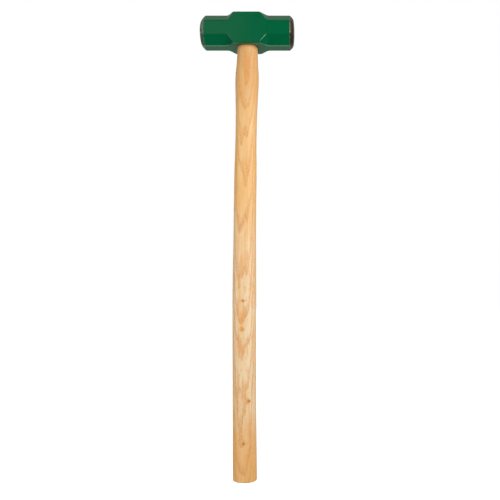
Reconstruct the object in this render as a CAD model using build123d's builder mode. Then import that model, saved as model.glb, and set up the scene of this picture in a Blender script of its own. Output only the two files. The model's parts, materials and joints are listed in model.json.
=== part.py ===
from build123d import *
import os
from math import copysign, cos, pi, radians, sin

os.makedirs("parts", exist_ok=True)

# A sledgehammer in millimetres, +Z up, hanging by its head: the head lies along X, the handle
# runs down along -Z. The origin is on the handle's axis, in the plane of the head's underside.

# Head: a forged octagonal bar with a square block left round the eye
head_length = 184.4
poll_flats = 60.0  # across the flats of both octagonal polls
poll_corner = 17.5  # leg of the corners taken off the square bar
block_length = 51.0
block_height = 61.0
block_corner = 2.0
ramp_length = 11.5  # over which the polls' corners run out into the block
ramp_round = 10.0  # hollow where the ramps meet the polls
block_round = 3.0  # where they meet the block
face_crown = 190.0  # radius of each striking face
bevel_depth = 6.4  # along the bar, from the crown's edge
bevel_width = 8.0  # in from each flat
bevel_round = 4.0
eye_rim = 1.2  # chamfer round both mouths of the eye

# Eye: an hourglass oval, as width along X and depth along Y
eye_mouth = (39.4, 38.4)
eye_waist = (37.4, 35.6)
eye_top = (40.4, 38.6)
oval_power = 2.3  # 2 is an ellipse, more is squarer

# Handle: distance below the head, width along X, depth along Y
handle_length = 914.4
tenon_proud = 1.5
stations = (
    (31, 42.2, 38.4),
    (62, 46.0, 39.6),
    (96, 44.2, 38.8),
    (141, 42.0, 37.4),
    (191, 41.9, 37.0),
    (241, 43.8, 37.2),
    (301, 44.2, 37.4),
    (371, 44.6, 37.6),
    (441, 46.2, 38.0),
    (511, 46.9, 38.3),
    (581, 46.7, 38.4),
    (651, 46.6, 38.4),
    (721, 46.9, 38.6),
    (791, 47.5, 38.9),
)
butt_width = 48.3
butt_depth = 39.4
butt_round = 4.0
handle_lean = -5.5  # how far the butt stands off the eye's axis, along X
handle_bow = -3.5  # the sweep of the shaft half way down

# Wooden wedge in a saw kerf along X, and two steel wedges across it
kerf_width = 1.6
kerf_depth = 52.0
wooden_wedge_depth = 44.0
wooden_wedge_top = 7.5
steel_wedge_width = 20.0
steel_wedge_top = 4.4
steel_wedge_tip = 0.8
steel_wedge_depth = 29.0
steel_wedge_proud = 0.5
steel_wedge_place = 9.0  # each side of the eye's centre
steel_wedge_turn = 32.0  # degrees off the Y axis
barb_count = 4
barb_size = 0.6

head_middle = block_height / 2
block_end = block_length / 2
ramp_end = block_end + ramp_length
tenon_top = block_height + tenon_proud
butt_bottom = tenon_top - handle_length
oval_points = 24


def oval(width, depth):
    """Points of a closed oval, squarer than an ellipse."""
    turns = [2 * pi * i / oval_points for i in range(oval_points)]
    return [
        (
            width / 2 * copysign(abs(cos(turn)) ** (2 / oval_power), cos(turn)),
            depth / 2 * copysign(abs(sin(turn)) ** (2 / oval_power), sin(turn)),
        )
        for turn in turns
    ]


def bar_plane(x):
    """A plane square to the bar, centred on it."""
    return Plane((x, 0, head_middle), x_dir=(0, 1, 0), z_dir=(1, 0, 0))


def shaft_centre(z):
    """Where the handle's centre line stands along X at height z."""
    down = min(z, 0) / butt_bottom
    return handle_lean * down + handle_bow * sin(pi * down)


def wedge_outline():
    """One steel wedge from its side: a taper with barbs on both flanks, its head at (0, 0)."""
    flank = []
    step = steel_wedge_depth / (barb_count + 1)
    lean = (steel_wedge_top - steel_wedge_tip) / 2 / steel_wedge_depth
    for barb in range(1, barb_count + 1):
        down = barb * step
        half = steel_wedge_top / 2 - lean * down
        flank += [(half, -down), (half - barb_size, -down), (half - lean * step / 2, -down - step / 2)]
    right = [(steel_wedge_top / 2, 0), *flank, (steel_wedge_tip / 2, -steel_wedge_depth)]
    return right + [(-x, y) for x, y in reversed(right)]


# The eye's own shape, which cuts the head and makes the tenon that fills it
with BuildPart() as eye:
    for height, size in ((0, eye_mouth), (head_middle, eye_waist), (block_height, eye_top)):
        with BuildSketch(Plane.XY.offset(height)):
            with BuildLine():
                Spline(*oval(*size), periodic=True)
            make_face()
    loft()

# Tenon: fills the eye and stands a little proud of it
with BuildPart() as tenon:
    add(eye.part)
    extrude(eye.faces().sort_by(Axis.Z)[-1], amount=tenon_proud)

# Head
with BuildPart() as head:
    with BuildSketch(bar_plane(-head_length / 2)) as bar:
        Rectangle(poll_flats, poll_flats)
        chamfer(bar.vertices(), poll_corner)
    extrude(amount=head_length)
    # Both faces crowned: the bar is kept where two large spheres cross
    for end in (-1, 1):
        with Locations((end * (head_length / 2 - face_crown), 0, head_middle)):
            Sphere(face_crown, mode=Mode.INTERSECT)
    # Bevel round each face, softened on both sides
    for end in (-1, 1):
        crown = head.faces().sort_by(Axis.X)[0 if end < 0 else -1]
        chamfer(crown.edges(), bevel_width, bevel_depth, reference=crown)
        crown = head.faces().sort_by(Axis.X)[0 if end < 0 else -1]
        fillet(crown.edges(), bevel_round)
    # Square block round the eye, with the corners running out into the polls
    for x, height, corner in (
        (-ramp_end, poll_flats, poll_corner),
        (-block_end, block_height, block_corner),
        (block_end, block_height, block_corner),
        (ramp_end, poll_flats, poll_corner),
    ):
        with BuildSketch(bar_plane(x)) as section:
            Rectangle(poll_flats, height)
            chamfer(section.vertices(), corner)
    loft(ruled=True)
    for place, longest, radius in (
        (block_end, block_height / 2, block_round),
        (ramp_end, block_height, ramp_round),
    ):
        ring = head.edges().filter_by(lambda edge: abs(abs(edge.center().X) - place) < 0.05)
        ring = ring.filter_by(lambda edge: edge.bounding_box().size.X < 0.05 and edge.length < longest)
        fillet(ring, radius)
    # The eye, with both of its mouths eased
    add(eye.part, mode=Mode.SUBTRACT)
    for height in (0, block_height):
        mouth = head.edges().filter_by_position(Axis.Z, height - 0.01, height + 0.01)
        mouth = mouth.filter_by(lambda edge: edge.length > 2 * eye_mouth[0])
        chamfer(mouth, eye_rim)

# Wooden wedge: a taper lying along X, trimmed to the eye's own oval
with BuildPart() as wooden_wedge:
    with BuildSketch(Plane.YZ.offset(-block_end)):
        with BuildLine():
            Polyline(
                (-wooden_wedge_top / 2, tenon_top),
                (wooden_wedge_top / 2, tenon_top),
                (kerf_width / 2, tenon_top - wooden_wedge_depth),
                (-kerf_width / 2, tenon_top - wooden_wedge_depth),
                close=True,
            )
        make_face()
    extrude(amount=block_length)
    add(tenon.part, mode=Mode.INTERSECT)

# Steel wedges: barbed tapers driven across the wooden one, which they split
steel_wedges = []
for side, place in (("left", -steel_wedge_place), ("right", steel_wedge_place)):
    turn = radians(copysign(steel_wedge_turn, place))
    head_end = (place, 0, tenon_top + steel_wedge_proud)
    across = Plane(head_end, x_dir=(cos(turn), sin(turn), 0), z_dir=(sin(turn), -cos(turn), 0))
    with BuildPart() as steel_wedge:
        with BuildSketch(across.offset(-steel_wedge_width / 2)):
            with BuildLine():
                Polyline(*wedge_outline(), close=True)
            make_face()
        extrude(amount=steel_wedge_width)
    steel_wedge.part.label = f"steel_wedge_{side}"
    steel_wedges.append(steel_wedge.part)

# Handle: a long loft through its stations, with the tenon on top
with BuildPart() as handle:
    with BuildSketch(Plane.XY):
        with BuildLine():
            Spline(*oval(*eye_mouth), periodic=True)
        make_face()
    for drop, width, depth in (*stations, (-butt_bottom, butt_width, butt_depth)):
        with BuildSketch(Plane((shaft_centre(-drop), 0, -drop))):
            with BuildLine():
                Spline(*oval(width, depth), periodic=True)
            make_face()
    loft()
    fillet(handle.faces().sort_by(Axis.Z)[0].edges(), butt_round)
    add(tenon.part)
    # Saw kerf, and the room that the wedges have made
    with BuildSketch(Plane.YZ.offset(-block_end)):
        with Locations((0, tenon_top)):
            Rectangle(kerf_width, 2 * kerf_depth)
    extrude(amount=block_length, mode=Mode.SUBTRACT)
    add(wooden_wedge.part, mode=Mode.SUBTRACT)
    for steel_wedge_part in steel_wedges:
        add(steel_wedge_part, mode=Mode.SUBTRACT)

with BuildPart() as split_wedge:
    add(wooden_wedge.part)
    for steel_wedge_part in steel_wedges:
        add(steel_wedge_part, mode=Mode.SUBTRACT)

head.part.label = "head"
handle.part.label = "handle"
split_wedge.part.label = "wooden_wedge"
for piece in (head.part, handle.part, split_wedge.part, *steel_wedges):
    export_step(piece, f"parts/{piece.label}.step")
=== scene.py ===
import json
import math

import bmesh
import bpy
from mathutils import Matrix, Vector, noise

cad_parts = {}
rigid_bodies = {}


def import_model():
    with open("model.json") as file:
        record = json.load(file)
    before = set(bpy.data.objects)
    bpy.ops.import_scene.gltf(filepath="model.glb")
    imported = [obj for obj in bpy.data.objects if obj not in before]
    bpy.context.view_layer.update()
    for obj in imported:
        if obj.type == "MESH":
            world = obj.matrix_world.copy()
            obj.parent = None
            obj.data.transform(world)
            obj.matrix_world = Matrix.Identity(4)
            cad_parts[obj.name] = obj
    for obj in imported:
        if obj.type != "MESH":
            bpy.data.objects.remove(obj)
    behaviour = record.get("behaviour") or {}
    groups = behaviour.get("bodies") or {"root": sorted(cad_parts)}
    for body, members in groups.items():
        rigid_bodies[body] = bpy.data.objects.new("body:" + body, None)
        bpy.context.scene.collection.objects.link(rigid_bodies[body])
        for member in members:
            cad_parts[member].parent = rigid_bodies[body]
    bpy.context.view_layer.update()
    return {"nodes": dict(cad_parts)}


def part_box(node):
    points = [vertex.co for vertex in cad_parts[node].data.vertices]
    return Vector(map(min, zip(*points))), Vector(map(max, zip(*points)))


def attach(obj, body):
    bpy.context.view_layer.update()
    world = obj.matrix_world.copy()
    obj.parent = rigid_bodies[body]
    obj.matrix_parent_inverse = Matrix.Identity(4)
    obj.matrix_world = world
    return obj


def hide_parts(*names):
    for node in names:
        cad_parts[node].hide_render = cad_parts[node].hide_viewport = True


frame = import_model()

mm = 0.001

# the camera is level, half way down the handle and a little to its right
cameraSetup = {
    "lens": 41.1,
    "place": (0.105, -1.1268, -0.455),
    "turn": (90.0, 0.0, 0.0),
    "shift": (-0.1018, 0.0586),
}
cameraData = bpy.data.cameras.new("camera")
camera = bpy.data.objects.new("camera", cameraData)
bpy.context.scene.collection.objects.link(camera)
bpy.context.scene.camera = camera
cameraData.lens = cameraSetup["lens"]
cameraData.shift_x, cameraData.shift_y = cameraSetup["shift"]
camera.location = cameraSetup["place"]
camera.rotation_euler = [math.radians(turn) for turn in cameraSetup["turn"]]
print("camera placed")


# one socket of a node tree, ready for sums; with no socket it only makes nodes
class Wire:
    def __init__(self, tree, socket=None):
        self.tree = tree
        self.socket = socket

    # any node: its type, its settings, which are set first, and its sockets' values or links
    def node(self, kind, settings=None, sockets=None, out=0):
        made = self.tree.nodes.new(kind)
        for name, value in (settings or {}).items():
            if name == "curve":
                fillCurve(made.mapping, value)
            else:
                setattr(made, name, value)
        for key, value in (sockets or {}).items():
            if isinstance(value, Wire):
                self.tree.links.new(value.socket, made.inputs[key])
            else:
                made.inputs[key].default_value = value
        return Wire(self.tree, made.outputs[out] if len(made.outputs) else None)

    def calc(self, operation, *values):
        return self.node("ShaderNodeMath", {"operation": operation}, dict(enumerate(values)))

    def atLeast(self, other):
        return self.calc("MAXIMUM", self, other)

    def atMost(self, other):
        return self.calc("MINIMUM", self, other)

    def __add__(self, other):
        return self.calc("ADD", self, other)

    def __radd__(self, other):
        return self.calc("ADD", other, self)

    def __sub__(self, other):
        return self.calc("SUBTRACT", self, other)

    def __rsub__(self, other):
        return self.calc("SUBTRACT", other, self)

    def __mul__(self, other):
        return self.calc("MULTIPLY", self, other)

    def __rmul__(self, other):
        return self.calc("MULTIPLY", other, self)

    def __truediv__(self, other):
        return self.calc("DIVIDE", self, other)

    def __rtruediv__(self, other):
        return self.calc("DIVIDE", other, self)

    def __pow__(self, other):
        return self.calc("POWER", self, other)

    def __abs__(self):
        return self.calc("ABSOLUTE", self)

    def __neg__(self):
        return self.calc("MULTIPLY", self, -1.0)

    # x, y and z of a vector
    def split(self):
        return [self.node("ShaderNodeSeparateXYZ", None, {0: self}, out) for out in range(3)]

    def join(self, x, y, z):
        return self.node("ShaderNodeCombineXYZ", None, {0: x, 1: y, 2: z})

    # 0 below low, 1 above high, eased between
    def soft(self, low, high):
        ends = {0: self, 1: low, 2: high, 3: 0.0, 4: 1.0}
        if low > high:
            ends.update({1: high, 2: low, 3: 1.0, 4: 0.0})
        return self.node("ShaderNodeMapRange", {"interpolation_type": "SMOOTHSTEP"}, ends)

    # from one colour to another, by this wire
    def tint(self, start, end):
        ends = {0: self, 6: colour(start), 7: colour(end)}
        return self.node("ShaderNodeMix", {"data_type": "RGBA"}, ends, 2)

    # noise where a vector points, from 0 to 1
    def noise(self, vector, scale=1.0, detail=2.0, roughness=0.5):
        sockets = {"Vector": vector, "Scale": scale, "Detail": detail, "Roughness": roughness}
        return self.node("ShaderNodeTexNoise", None, sockets)

    def bump(self, height, strength, distance):
        sockets = {"Height": height, "Strength": strength, "Distance": distance}
        return self.node("ShaderNodeBump", None, sockets)


def colour(value):
    return (*value, 1.0) if isinstance(value, tuple) and len(value) == 3 else value


def fillCurve(mapping, points):
    curve = mapping.curves[0]
    while len(curve.points) < len(points):
        curve.points.new(0.5, 0.5)
    for point, place in zip(curve.points, points):
        point.location = place
        point.handle_type = "AUTO"
    mapping.update()


def newMaterial(name):
    made = bpy.data.materials.new(name)
    made.use_nodes = True
    made.node_tree.nodes.clear()
    return made, Wire(made.node_tree)


def surface(wire, sockets):
    shader = wire.node("ShaderNodeBsdfPrincipled", None, sockets)
    wire.node("ShaderNodeOutputMaterial", None, {"Surface": shader})


# materials, each with its colours and sizes in a dictionary
enamelLook = {
    "green": (0.0008, 0.125, 0.046),
    "greenThin": (0.012, 0.15, 0.062),  # along the polls' edges
    "greenCloudy": (0.002, 0.132, 0.050),
    "overspray": (0.10, 0.16, 0.11),  # on the left bevel, which got enamel
    "steel": (0.065, 0.040, 0.030),
    "steelWorn": (0.21, 0.16, 0.125),
    "rust": (0.09, 0.045, 0.022),
    "lip": (0.50, 0.44, 0.36),  # pale steel: a painted highlight along the bevel's edge beside the enamel, and clean steel in the enamel's chips
    # chips on the left bevel: place and half width, mm
    "chips": ((-87.8, -24.0, 21.5, 2.6), (-86.0, -24.0, 44.0, 1.2), (-84.0, 22.0, 15.0, 1.8)),
    "bareFrom": (87.6, 83.2),  # where the enamel stops towards the left and the right end, mm
    "oversprayFrom": -80.5,  # mm
    "thinEdge": 1.6,  # width of the thin enamel along an edge, mm
    "coatRoughness": 0.12,
}


# green enamel between the faces, brown-lacquered ground steel beyond it
def enamelAndSteel():
    made, wire = newMaterial("greenEnamel")
    look = enamelLook
    place = wire.node("ShaderNodeTexCoord", out="Object")
    x, y, z = [part * 1000 for part in place.split()]
    height = z - 1000 * headMiddle
    ragged = wire.noise(place, 900.0, 3.0)
    blotch = wire.noise(place, 30.0, 3.0)
    left, right = look["bareFrom"]
    past = (x - right).atLeast(-x - left) + (ragged - 0.5) * 0.7
    bare = past.soft(-0.15, 0.15)
    chipped = 0.0
    for chipX, chipY, chipZ, half in look["chips"]:
        away = (x - chipX) ** 2.0 + (y - chipY) ** 2.0 + (z - chipZ) ** 2.0
        away = away ** 0.5 + (ragged - 0.5) * 3.0
        chipped = away.soft(half + 0.2, half - 0.2).atLeast(chipped)
    bare = bare.atLeast(chipped)
    lip = past.soft(-0.1, 0.25) * past.soft(1.3, 0.7)  # painted highlight: a pale line beside the enamel, where the bevel's edge would catch the light
    dusty = x.soft(look["oversprayFrom"], look["oversprayFrom"] - 3.0)
    dusty = dusty * wire.noise(place, 120.0, 3.0).soft(0.25, 0.6)
    # the polls' long edges, where enamel runs thin
    half = 500 * headDepth
    inFlat = half - abs(y).atLeast(abs(height))
    inCorner = (2 * half - 1000 * headMaker["pollCorner"] - abs(y) - abs(height)) * math.sqrt(0.5)
    edge = inFlat.atLeast(inCorner).soft(look["thinEdge"], 0.1) * abs(x).soft(34.0, 38.0)
    thin = edge * wire.noise(place, 220.0, 4.0).soft(0.45, 0.62) * 0.5
    green = thin.tint(look["green"], look["greenThin"])
    green = (blotch.soft(0.35, 0.7) * 0.35).tint(green, look["greenCloudy"])
    green = (dusty * 0.6).tint(green, look["overspray"])
    # ground faces: fine rings about the head's axis, crossed by straight grinding marks
    radius = (y * y + height * height) ** 0.5
    rings = wire.noise(wire.join(radius * 9.0, 0.0, 0.0), 1.0, 3.0)
    scratches = wire.noise(wire.join(y * 0.5, height * 7.0, x * 2.0), 1.0, 4.0)
    grind = rings * 0.6 + scratches * 0.4
    steel = (grind.soft(0.38, 0.66) * 0.75).tint(look["steel"], look["steelWorn"])
    steel = (wire.noise(place, 70.0, 4.0).soft(0.5, 0.75) * 0.6).tint(steel, look["rust"])
    # the painted highlight line, broken by noise, and the real clean steel in the chips share the pale
    # colour
    rimHighlight = lip * wire.noise(place, 160.0, 2.0).soft(0.35, 0.6) * 0.75
    steel = rimHighlight.atLeast(chipped * 0.8).tint(steel, look["lip"])
    peel = wire.noise(place, 260.0, 2.0)
    wave = wire.noise(place, 45.0, 2.0)
    relief = (peel * 0.02 + wave * 0.25) * (1 - bare) + grind * bare * 0.05 - bare * 0.12
    surface(wire, {
        "Base Color": bare.tint(green, steel),
        "Metallic": bare * 0.85,
        "Roughness": 0.42 - bare * 0.06 + grind * bare * 0.1,
        "IOR": 1.01,  # the coat alone mirrors
        "Coat Weight": 1.0 - bare * 0.55,
        "Coat Roughness": look["coatRoughness"],
        "Normal": wire.bump(relief, 0.6, 1.0 * mm),
    })
    return made


woodLook = {
    "pale": (1.0, 0.68, 0.34),
    "blush": (1.0, 0.83, 0.57),  # the palest wood, half way down
    "honey": (0.97, 0.56, 0.20),
    "orange": (0.90, 0.415, 0.12),
    "tan": (0.68, 0.36, 0.135),  # painted shade: the wood darker up against the head, where the head shades it
    "pore": (0.42, 0.165, 0.04),
    "knot": (0.46, 0.19, 0.045),
    "endGrain": (0.33, 0.17, 0.07),
    "ringGap": 2.9,  # between growth rings, mm
    "pith": (-3.0, 84.0),  # the tree's centre off the handle's axis, mm
    "slope": 0.034,  # how fast the grain runs out along the handle
    "coatRoughness": 0.46,
    # pin knots on the front: place along X and Z, and half width, mm
    "knots": (
        (-1.5, -107.0, 1.2), (-7.0, -497.0, 2.4), (-8.5, -553.0, 2.0), (3.5, -692.0, 2.6),
        (-6.5, -775.0, 3.6),
    ),
}


# ring-porous wood sawn flat to the front, clear lacquered
def lacqueredWood():
    made, wire = newMaterial("lacqueredWood")
    look = woodLook
    place = wire.node("ShaderNodeTexCoord", out="Object")
    x, y, z = [part * 1000 for part in place.split()]
    sway = wire.noise(wire.join(x * 0.02, y * 0.02, z * 0.004), 1.0, 2.0) - 0.5
    wander = wire.noise(wire.join(x * 0.07, y * 0.07, z * 0.011), 1.0, 2.0) - 0.5
    ripple = wire.noise(wire.join(x * 0.22, y * 0.22, z * 0.05), 1.0, 2.0) - 0.5
    fibre = wire.noise(wire.join(x * 3.2, y * 3.2, z * 0.08), 1.0, 3.0)
    # how near the closest knot is, in its own half widths
    front = y.soft(-4.0, -12.0)
    near = 99.0
    for knotX, knotZ, half in look["knots"]:
        across, along = (x - knotX) / half, (z - knotZ) * 1.2 / half
        away = (across * across + along * along) ** 0.5
        near = away.atMost(near)
    near = near + ripple * 2.2
    # distance from the pith, which drifts along the handle
    offX = x - (look["pith"][0] + sway * 12.0)
    offY = y - (look["pith"][1] + z * look["slope"] + sway * 5.0)
    reach = (offX * offX + offY * offY) ** 0.5 + wander * 4.4 + ripple * 0.45
    reach = reach + near.soft(5.0, 0.0) * front * 1.3
    ring = wire.calc("FRACT", reach / look["ringGap"])
    early = ring.soft(0.0, 0.12) * ring.soft(0.6, 0.12)
    late = ring.soft(0.45, 1.0)
    # streaks and pores, long along the grain
    streak = wire.noise(wire.join(x * 0.42, y * 0.42, z * 0.011), 1.0, 3.0)
    pore = wire.noise(wire.join(x * 3.0, y * 3.0, z * 0.22), 1.0, 1.0).soft(0.55, 0.66)
    pore = pore * (early * 0.85 + 0.15)
    cloud = wire.noise(wire.join(x * 0.06, y * 0.06, z * 0.009), 1.0, 2.0)
    flame = wire.noise(wire.join(x * 0.15, y * 0.15, z * 0.026 + 7.0), 1.0, 3.0, 0.6)
    dash = wire.noise(wire.join(x * 0.5, y * 0.5, z * 0.35), 1.0, 2.0).soft(0.66, 0.74)
    middle = z.soft(-280.0, -460.0) * z.soft(-820.0, -700.0)
    base = cloud.soft(0.32, 0.66).tint(look["honey"], look["pale"])
    base = (middle * (cloud.soft(0.35, 0.6) * 0.45 + 0.45)).tint(base, look["blush"])
    base = (flame.soft(0.5, 0.68) * (middle * 0.35 + 0.25)).tint(base, look["orange"])
    base = (flame.soft(0.45, 0.3) * middle * 0.6).tint(base, look["blush"])
    base = (z.soft(-690.0, -800.0) * 0.3).tint(base, look["orange"])
    # painted shade under the head: the top of the handle darkened towards the eye
    base = (z.soft(-190.0, -20.0) * 0.55).tint(base, look["tan"])
    base = (late * 0.28).tint(base, look["honey"])
    base = (early * 0.64).tint(base, look["orange"])
    base = (streak.soft(0.48, 0.7) * 0.5).tint(base, look["orange"])
    base = (fibre.soft(0.45, 0.7) * 0.18).tint(base, look["orange"])
    base = (pore * 0.75).tint(base, look["pore"])
    base = (dash * (middle * 0.35 + 0.12)).tint(base, look["pore"])
    base = (near.soft(2.8, 0.7) * front * 0.5).tint(base, look["orange"])
    base = (near.soft(1.2, 0.2) * front * 0.85).tint(base, look["knot"])
    # end grain drinks the lacquer and goes dark
    facing = wire.node("ShaderNodeNewGeometry", out="Normal").split()[2]
    endGrain = abs(facing).soft(0.7, 0.95)
    base = (endGrain * 0.45).tint(base, look["endGrain"])
    relief = fibre * 0.25 - pore - early * 0.25
    surface(wire, {
        "Base Color": base,
        "Roughness": 0.52 + pore * 0.2 + endGrain * 0.15,
        "IOR": 1.3,
        "Coat Weight": 0.32 - endGrain * 0.2,
        "Coat Roughness": look["coatRoughness"],
        "Normal": wire.bump(relief, 0.35, 0.12 * mm),
    })
    return made


wedgeLook = {
    "woodDark": (0.30, 0.15, 0.06),
    "woodLight": (0.52, 0.31, 0.14),
    "sawMark": (0.20, 0.10, 0.045),
    "steelDark": (0.20, 0.19, 0.18),
    "steelLight": (0.42, 0.40, 0.38),
    "rust": (0.16, 0.065, 0.025),
}


# dry, sawn wood of the wedge
def wedgeWood():
    made, wire = newMaterial("sawnWedgeWood")
    look = wedgeLook
    place = wire.node("ShaderNodeTexCoord", out="Object")
    x, y, z = [part * 1000 for part in place.split()]
    grain = wire.noise(wire.join(x * 0.4, y * 2.6, z * 0.15), 1.0, 4.0)
    saw = wire.noise(wire.join(x * 2.2, y * 0.3, z), 1.0, 2.0)
    base = grain.soft(0.35, 0.65).tint(look["woodDark"], look["woodLight"])
    base = (saw.soft(0.5, 0.7) * 0.3).tint(base, look["sawMark"])
    surface(wire, {
        "Base Color": base,
        "Roughness": 0.75 + saw * 0.1,
        "Normal": wire.bump(grain + saw * 0.5, 0.5, 0.2 * mm),
    })
    return made


# mild steel, hammered in and gone a little rusty
def wedgeSteel():
    made, wire = newMaterial("wedgeSteel")
    look = wedgeLook
    place = wire.node("ShaderNodeTexCoord", out="Object")
    mark = wire.noise(place, 450.0, 4.0)
    rust = wire.noise(place, 160.0, 5.0).soft(0.48, 0.66)
    steel = mark.soft(0.35, 0.7).tint(look["steelDark"], look["steelLight"])
    surface(wire, {
        "Base Color": (rust * 0.7).tint(steel, look["rust"]),
        "Metallic": 1.0 - rust * 0.7,
        "Roughness": 0.38 + rust * 0.35,
        "Normal": wire.bump(mark, 0.5, 0.3 * mm),
    })
    return made


# mesh tools that the pieces share
def newObject(name, mesh):
    made = bpy.data.objects.new(name, mesh)
    bpy.context.scene.collection.objects.link(made)
    return made


# the object with its modifiers worked out, as a plain mesh
def plainMesh(piece, name):
    bpy.context.view_layer.update()
    depsgraph = bpy.context.evaluated_depsgraph_get()
    mesh = bpy.data.meshes.new_from_object(piece.evaluated_get(depsgraph))
    mesh.name = name
    bpy.data.objects.remove(piece)
    return newObject(name, mesh)


# a closed skin over rings of points, with a point or a flat cap at each end
def skin(name, rings, poles=None):
    mesh = bpy.data.meshes.new(name)
    points = [point for ring in rings for point in ring]
    count = len(rings[0])
    faces = []
    for row in range(len(rings) - 1):
        for i in range(count):
            j = (i + 1) % count
            low, high = row * count, (row + 1) * count
            faces.append((low + i, low + j, high + j, high + i))
    first = list(range(count))
    last = [len(points) - count + i for i in range(count)]
    if poles:
        for pole, ring in zip(poles, (first, last)):
            points.append(pole)
            tip = len(points) - 1
            faces += [(ring[i], ring[(i + 1) % count], tip) for i in range(count)]
    else:
        faces += [tuple(first), tuple(last)]
    mesh.from_pydata(points, [], faces)
    tidy(mesh)
    return mesh


weldGap = 1e-6


# joined, and with every face turned outwards
def tidy(mesh):
    shape = bmesh.new()
    shape.from_mesh(mesh)
    bmesh.ops.remove_doubles(shape, verts=shape.verts, dist=weldGap)
    bmesh.ops.recalc_face_normals(shape, faces=shape.faces)
    shape.to_mesh(mesh)
    shape.free()


def cut(piece, tool):
    modifier = piece.modifiers.new("cut", "BOOLEAN")
    modifier.operation = "DIFFERENCE"
    modifier.solver = "EXACT"
    modifier.object = tool


def smooth(piece, angle=30.0):
    piece.data.shade_smooth()
    piece.data.set_sharp_from_angle(angle=math.radians(angle))
    modifier = piece.modifiers.new("flats", "WEIGHTED_NORMAL")
    modifier.keep_sharp = True
    modifier.weight = 100


# a closed oval, squarer than an ellipse, with its half sizes
def oval(halfWidth, halfDepth, z, count, power):
    points = []
    for i in range(count):
        turn = 2 * math.pi * i / count
        c, s = math.cos(turn), math.sin(turn)
        x = halfWidth * math.copysign(abs(c) ** (2 / power), c)
        y = halfDepth * math.copysign(abs(s) ** (2 / power), s)
        points.append((x, y, z))
    return points


# the head: its box, and the sizes that its sections are made from
headLow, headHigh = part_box("head")
headLength = headHigh.x - headLow.x
headDepth = headHigh.y - headLow.y
headHeight = headHigh.z - headLow.z
headMiddle = (headHigh.z + headLow.z) / 2
headMaker = {
    "pollCorner": 17.5 * mm,  # leg of the corners taken off the bar
    "pollEdge": 6.5 * mm,  # roundness of its long edges
    "blockCorner": 2.0 * mm,
    "blockEdge": 3.4 * mm,
    "blockLength": 51.0 * mm,
    "rampLength": (11.5 * mm, 14.0 * mm),  # left, right
    "rampHollow": 0.32,  # share of the ramp that is eased, at the poll and at the block
    "rampCrest": 0.16,
    "crown": 190.0 * mm,
    "bevelWidth": 9.0 * mm,
    "bevelRows": 14,
    "bevelDepth": 6.4 * mm,
    "bevelSwell": 2.0,  # 1 is a flat bevel, more is rounder
    "crownRows": 14,
    "slant": 0.07,  # the left face is ground a little out of square, above its middle
    "forging": 0.2 * mm,  # unevenness left by the hammer
    "rowGap": 1.0 * mm,  # between sections along the bar
}
eyeMaker = {
    "mouth": (39.4, 38.4),  # width and depth, mm
    "waist": (37.4, 35.6),
    "top": (40.4, 38.6),
    "power": 2.3,
    "gap": 0.12 * mm,
    "rim": 1.6 * mm,
    "around": 96,
}


# 0 well below nought, s well above, a parabola of half width w between
def bend(s, w):
    if s <= -w:
        return 0.0
    return s if s >= w else (s + w) ** 2 / (4 * w)


# how far along the ramp from block (0) to poll (1)
def ramp(x):
    maker = headMaker
    s = (abs(x) - maker["blockLength"] / 2) / maker["rampLength"][0 if x < 0 else 1]
    return bend(s, maker["rampCrest"]) - bend(s - 1, maker["rampHollow"])


# the bar's section: eight flats with their corners rounded
def barSection(halfDepth, halfHeight, corner, rounding, arcSteps=5, flatSteps=7):
    quarter = [(halfDepth, halfHeight - corner), (halfDepth - corner, halfHeight)]
    corners = quarter + [(-y, z) for y, z in reversed(quarter)]
    corners += [(-y, -z) for y, z in quarter] + [(y, -z) for y, z in reversed(quarter)]
    corners = [Vector(point) for point in corners]
    runOut = rounding * math.tan(math.radians(22.5))
    points = []
    for i, here in enumerate(corners):
        back = (corners[i - 1] - here).normalized()
        ahead = (corners[(i + 1) % 8] - here).normalized()
        start, end = here + back * runOut, here + ahead * runOut
        for step in range(arcSteps + 1):
            s = step / arcSteps
            points.append(start * (1 - s) ** 2 + here * 2 * s * (1 - s) + end * s ** 2)
        nextStart = corners[(i + 1) % 8] - ahead * runOut
        points += [end.lerp(nextStart, step / flatSteps) for step in range(1, flatSteps)]
    return points


# unevenness of the forging, always inwards
def forged(point):
    lift = noise.noise(point * 42.0) * 0.6 + noise.noise(point * 95.0) * 0.4
    shrink = 1 - headMaker["forging"] * (0.5 + 0.5 * lift) / headMiddle
    return Vector((point.x, *(point.yz * shrink)))


def makeHead():
    maker = headMaker
    half = headDepth / 2
    swell = (headHeight - headDepth) / 2
    edgeAt = headLength / 2 - maker["bevelDepth"] - maker["slant"] * half
    edgeAt -= half ** 2 / (2 * maker["crown"])  # the crown's own depth at the flats
    rings = []
    rows = 2 * round(edgeAt / maker["rowGap"])
    for row in range(1, rows):
        x = -edgeAt + 2 * edgeAt * row / rows
        part = ramp(x)
        corner = maker["blockCorner"] + (maker["pollCorner"] - maker["blockCorner"]) * part
        rounding = maker["blockEdge"] + (maker["pollEdge"] - maker["blockEdge"]) * part
        section = barSection(half, half + swell * (1 - part), corner, rounding)
        rings.append([Vector((x, *point)) for point in section])
    # both ends: the bevel, then the crown drawn in to its middle
    width = maker["bevelWidth"]
    for step in range(maker["bevelRows"] + 1):
        addEnds(rings, width * (step / maker["bevelRows"]) ** 1.6, 1.0)
    for step in range(1, maker["crownRows"]):
        addEnds(rings, width, 1 - step / maker["crownRows"])
    tips = [Vector((side * headLength / 2, 0, 0)) for side in (-1, 1)]
    middle = Vector((0, 0, headMiddle))
    rings = [[forged(point) + middle for point in ring] for ring in rings]
    head = newObject("hammerHead", skin("hammerHead", rings, [tip + middle for tip in tips]))
    cut(head, makeEyeTool())
    return plainMesh(head, "hammerHead")


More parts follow.
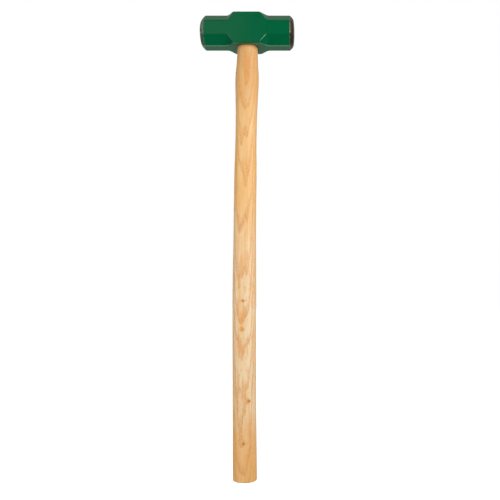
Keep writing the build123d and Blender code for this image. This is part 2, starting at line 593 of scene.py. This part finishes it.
# a ring on each end, drawn in from the flats by inset, then shrunk towards the axis
def addEnds(rings, inset, share):
    maker = headMaker
    half = headDepth / 2 - inset
    corner = maker["pollCorner"] - inset * (2 - math.sqrt(2))
    turned = 0.8 * (inset / maker["bevelWidth"]) ** 1.5  # the grinder leaves it rounder further in
    drop = maker["bevelDepth"] * (1 - inset / maker["bevelWidth"]) ** maker["bevelSwell"]
    for side in (-1, 1):
        ring = []
        for point in barSection(half, half, corner, maker["pollEdge"] + 0.6 * inset):
            point = point.lerp(point.normalized() * half * 1.03, turned) * share
            x = headLength / 2 - drop - point.length ** 2 / (2 * maker["crown"])
            slant = maker["slant"] * max(point.y, 0.0) if side < 0 else 0.0
            ring.append(Vector((side * (x - slant), *point)))
        rings.insert(0, ring) if side < 0 else rings.append(ring)


# the hourglass oval that the eye is cut with, flared round at both mouths
def makeEyeTool():
    maker = eyeMaker
    (w0, d0), (w1, d1), (w2, d2) = maker["mouth"], maker["waist"], maker["top"]
    rings = []
    rim = maker["rim"]
    depths = [-2.0, -1.0, 0.0, 0.04, 0.12, 0.25, 0.42, 0.65, 1.0]  # in rims, closer at the mouth
    heights = [depth * rim for depth in depths]
    heights += [rim + (headHeight - 2 * rim) * i / 20 for i in range(1, 20)]
    heights += [headHeight - depth * rim for depth in reversed(depths)]
    for z in heights:
        s = min(max(z / headHeight, 0.0), 1.0)
        # the parabola through the three sizes
        width = w0 + s * (4 * w1 - 3 * w0 - w2) + s * s * (2 * w0 + 2 * w2 - 4 * w1)
        depth = d0 + s * (4 * d1 - 3 * d0 - d2) + s * s * (2 * d0 + 2 * d2 - 4 * d1)
        near = min(max(min(z, headHeight - z) / rim, 0.0), 1.0)
        flare = rim * (1 - math.sqrt(max(0.0, 1 - (1 - near) ** 2)))
        grow = maker["gap"] + flare
        halfSizes = width * mm / 2 + grow, depth * mm / 2 + grow
        rings.append(oval(*halfSizes, headLow.z + z, maker["around"], maker["power"]))
    tool = newObject("eyeTool", skin("eyeTool", rings))
    tool.hide_render = True
    return tool


# the handle, by Geometry Nodes: an oval swept down a swaying line
handleLow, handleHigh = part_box("handle")
handleLength = handleHigh.z - handleLow.z
handleMaker = {
    # height from the underside of the head, width, depth: all mm
    "stations": (
        (62.5, 40.5, 38.7), (61, 40.4, 38.6), (46, 38.2, 36.4), (30.5, 37.4, 35.6), (15, 37.9, 36.4),
        (0, 39.4, 38.4), (-31, 42.2, 38.4), (-62, 46.0, 39.6), (-96, 44.2, 38.8), (-141, 42.0, 37.4),
        (-191, 41.9, 37.0), (-241, 43.8, 37.2), (-301, 44.2, 37.4), (-371, 44.6, 37.6),
        (-441, 46.2, 38.0), (-511, 46.9, 38.3), (-581, 46.7, 38.4), (-651, 46.6, 38.4),
        (-721, 46.9, 38.6), (-791, 47.5, 38.9), (-851.9, 48.3, 39.4),
    ),
    "Lean": -5.5 * mm,  # of the butt, to one side
    "Bow": -3.5 * mm,  # half way down
    "Butt Round": 2.8 * mm,
    "Butt Dome": 0.3 * mm,
    "Squareness": 2.3,
    "Whittle": 0.25 * mm,  # unevenness of the shaping
    "Rings": 460,
    "Facets": 96,
}
curveTop = 0.06  # width at the top of the size curves


def sizeCurve(column):
    points = []
    for station in reversed(handleMaker["stations"]):
        share = (station[0] * mm - handleLow.z) / handleLength
        points.append((min(max(share, 0.0), 1.0), station[column] * mm / curveTop))
    return points


def handleTree(material):
    tree = bpy.data.node_groups.new("handleShape", "GeometryNodeTree")
    maker = handleMaker
    tree.interface.new_socket("Geometry", in_out="INPUT", socket_type="NodeSocketGeometry")
    for name in ("Length", "Bottom", "Lean", "Bow", "Butt Round", "Butt Dome", "Squareness", "Whittle"):
        tree.interface.new_socket(name, in_out="INPUT", socket_type="NodeSocketFloat")
    for name in ("Rings", "Facets"):
        tree.interface.new_socket(name, in_out="INPUT", socket_type="NodeSocketInt")
    tree.interface.new_socket("Geometry", in_out="OUTPUT", socket_type="NodeSocketGeometry")
    wire = Wire(tree)
    given = {item.name: wire.node("NodeGroupInput", out=item.name)
             for item in tree.interface.items_tree if item.in_out == "INPUT"}
    rod = wire.node("GeometryNodeMeshCylinder", {"fill_type": "TRIANGLE_FAN"}, {
        "Vertices": given["Facets"], "Side Segments": given["Rings"], "Fill Segments": 10,
        "Radius": 1.0, "Depth": 1.0,
    })
    px, py, pz = wire.node("GeometryNodeInputPosition").split()
    r = ((px * px + py * py) ** 0.5).atLeast(1e-6)
    # rings crowd towards both ends
    t = pz + 0.5
    share = t - wire.calc("SINE", t * (2 * math.pi)) * (0.9 / (2 * math.pi))
    z = given["Bottom"] + share * given["Length"]
    halfWidth, halfDepth = [
        wire.node("ShaderNodeFloatCurve", {"curve": sizeCurve(column)}, {"Value": share})
        * (curveTop / 2) for column in (1, 2)
    ]
    # rounding of the butt
    height = z - given["Bottom"]
    butt = given["Butt Round"]
    short = butt - height.atMost(butt)
    inset = butt - (butt * butt - short * short).atLeast(0.0) ** 0.5
    # the oval, less square at the butt
    power = 2.0 / (given["Squareness"] - height.soft(0.05, 0.0) * 0.25)
    c, s = px / r, py / r
    ovalX = wire.calc("SIGN", c) * abs(c) ** power * r * (halfWidth - inset)
    ovalY = wire.calc("SIGN", s) * abs(s) ** power * r * (halfDepth - inset)
    # the line that it follows
    down = (z / given["Bottom"]).atLeast(0.0)
    sway = given["Lean"] * down + given["Bow"] * wire.calc("SINE", down * math.pi)
    # small unevenness, always inwards, and a domed butt
    uneven = wire.node("ShaderNodeTexNoise", None, {
        "Vector": wire.join(c * 0.9, s * 0.9, z * 22.0), "Scale": 1.0, "Detail": 2.0,
    })
    shrink = 1 - uneven * given["Whittle"] / 0.02 * z.soft(0.0, -0.03)
    domed = z + given["Butt Dome"] * r * r * height.soft(0.012, 0.0)
    place = wire.join(ovalX * shrink + sway, ovalY * shrink, domed)
    shaped = wire.node("GeometryNodeSetPosition", None, {"Geometry": rod, "Position": place})
    real = wire.node("GeometryNodeRealizeInstances", None, {"Geometry": shaped})
    clad = wire.node("GeometryNodeSetMaterial", None, {"Geometry": real, "Material": material})
    wire.node("NodeGroupOutput", None, {"Geometry": clad})
    return tree


def makeHandle(material):
    handle = newObject("woodenHandle", bpy.data.meshes.new("woodenHandle"))
    modifier = handle.modifiers.new("shape", "NODES")
    tree = handleTree(material)
    modifier.node_group = tree
    values = {"Length": handleLength, "Bottom": handleLow.z, **handleMaker}
    for item in tree.interface.items_tree:
        if item.in_out == "INPUT" and item.name in values:
            modifier[item.identifier] = values[item.name]
    handle = plainMesh(handle, "woodenHandle")
    tidy(handle.data)
    # room for the wedges, cut with copies of them
    for node in ("wooden_wedge", "steel_wedge_left", "steel_wedge_right"):
        copy = newObject(node + "Tool", frame["nodes"][node].data.copy())
        tidy(copy.data)
        copy.hide_render = True
        cut(handle, copy)
    return plainMesh(handle, "woodenHandle")


handle = makeHandle(lacqueredWood())
smooth(handle)
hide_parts("handle")
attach(handle, "root")
print("handle made")

head = makeHead()
head.data.materials.clear()
head.data.materials.append(enamelAndSteel())
smooth(head)
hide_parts("head")
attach(head, "root")
print("head made")

# the wedges are the frame's own, with their finishes
sawnWood = wedgeWood()
rustySteel = wedgeSteel()
for node, material in (
    ("wooden_wedge", sawnWood), ("steel_wedge_left", rustySteel), ("steel_wedge_right", rustySteel),
):
    mesh = frame["nodes"][node].data
    mesh.materials.clear()
    mesh.materials.append(material)
print("wedges finished")

for leftover in [piece for piece in bpy.data.objects if piece.name.endswith("Tool")]:
    bpy.data.objects.remove(leftover)

# the stage: a pale floor below the butt, and a soft studio
stageMaker = {
    "floorDrop": 0.28,
    "floorRadius": 12.0,
    "floorColour": (0.82, 0.82, 0.81),
    "floorGlow": 0.95,
    "keyPower": 39.0,
    "keyPlace": (1.25, -1.45, 0.02),
    "fillPower": 8.5,
    "fillPlace": (-1.4, -0.8, -0.4),
    "lightSize": (1.2, 1.5),
    "lightAim": (0.0, 0.0, -0.4),
    "above": 0.06,  # brightness of the room
    "behind": 0.30,
    "below": 2.5,
    "left": 1.5,
    "front": 0.002,  # behind the camera, where the flats mirror it
    "window": 0.28,  # a faint one beside the camera
}


def makeFloor():
    mesh = bpy.data.meshes.new("studioFloor")
    radius, z = stageMaker["floorRadius"], handleLow.z - stageMaker["floorDrop"]
    turns = [2 * math.pi * i / 64 for i in range(64)]
    ring = [(radius * math.cos(turn), radius * math.sin(turn), z) for turn in turns]
    mesh.from_pydata(ring, [], [tuple(range(64))])
    floor = newObject("studioFloor", mesh)
    made, wire = newMaterial("paleFloor")
    surface(wire, {
        "Base Color": colour(stageMaker["floorColour"]),
        "Roughness": 0.9,
        "Emission Color": (1.0, 1.0, 1.0, 1.0),
        "Emission Strength": stageMaker["floorGlow"],
    })
    mesh.materials.append(made)
    # the room lights the hammer, the floor doesn't
    floor.visible_glossy = False
    floor.visible_diffuse = False
    floor.visible_shadow = False


def softbox(name, place, size, power, aim):
    data = bpy.data.lights.new(name, "AREA")
    data.shape = "RECTANGLE"
    data.size, data.size_y = size
    data.energy = power
    light = newObject(name, data)
    light.location = place
    light.rotation_euler = (Vector(aim) - Vector(place)).to_track_quat("-Z", "Y").to_euler()
    return light


def makeStudio():
    scene = bpy.context.scene
    maker = stageMaker
    scene.view_settings.view_transform = "Standard"
    world = bpy.data.worlds.new("studio")
    scene.world = world
    world.use_nodes = True
    world.node_tree.nodes.clear()
    wire = Wire(world.node_tree)
    x, y, z = wire.node("ShaderNodeTexCoord", out="Generated").split()
    aside = 1 - abs(x).soft(0.6, 0.9) * z.soft(0.0, -0.2)
    glow = maker["front"] + y.soft(-0.35, 0.5) * aside * maker["behind"]
    glow = glow + z.soft(0.38, 0.8) * y.soft(-0.3, 0.5) * maker["above"]
    glow = glow + z.soft(-0.55, -0.85) * y.soft(0.05, 0.4) * maker["below"]
    left = x.soft(-0.35, -0.75) * y.soft(0.1, -0.15) * y.soft(-0.6, -0.3) * z.soft(-0.6, -0.3)
    glow = glow + left * maker["left"]
    glow = glow + x.soft(-0.064, -0.112) * y.soft(-0.5, -0.9) * maker["window"]
    room = wire.node("ShaderNodeBackground", None, {"Color": wire.join(glow, glow * 0.99, glow * 0.97)})
    white = wire.node("ShaderNodeBackground", None, {"Color": (1.0, 1.0, 1.0, 1.0)})
    seen = wire.node("ShaderNodeLightPath", out="Is Camera Ray")
    both = wire.node("ShaderNodeMixShader", None, {0: seen, 1: room, 2: white})
    wire.node("ShaderNodeOutputWorld", None, {"Surface": both})
    size, aim = maker["lightSize"], maker["lightAim"]
    softbox("key", maker["keyPlace"], size, maker["keyPower"], aim)
    # fills the shaded side without showing in the gloss
    fill = softbox("fill", maker["fillPlace"], size, maker["fillPower"], aim)
    fill.visible_glossy = False


makeFloor()
makeStudio()
print("studio lit")
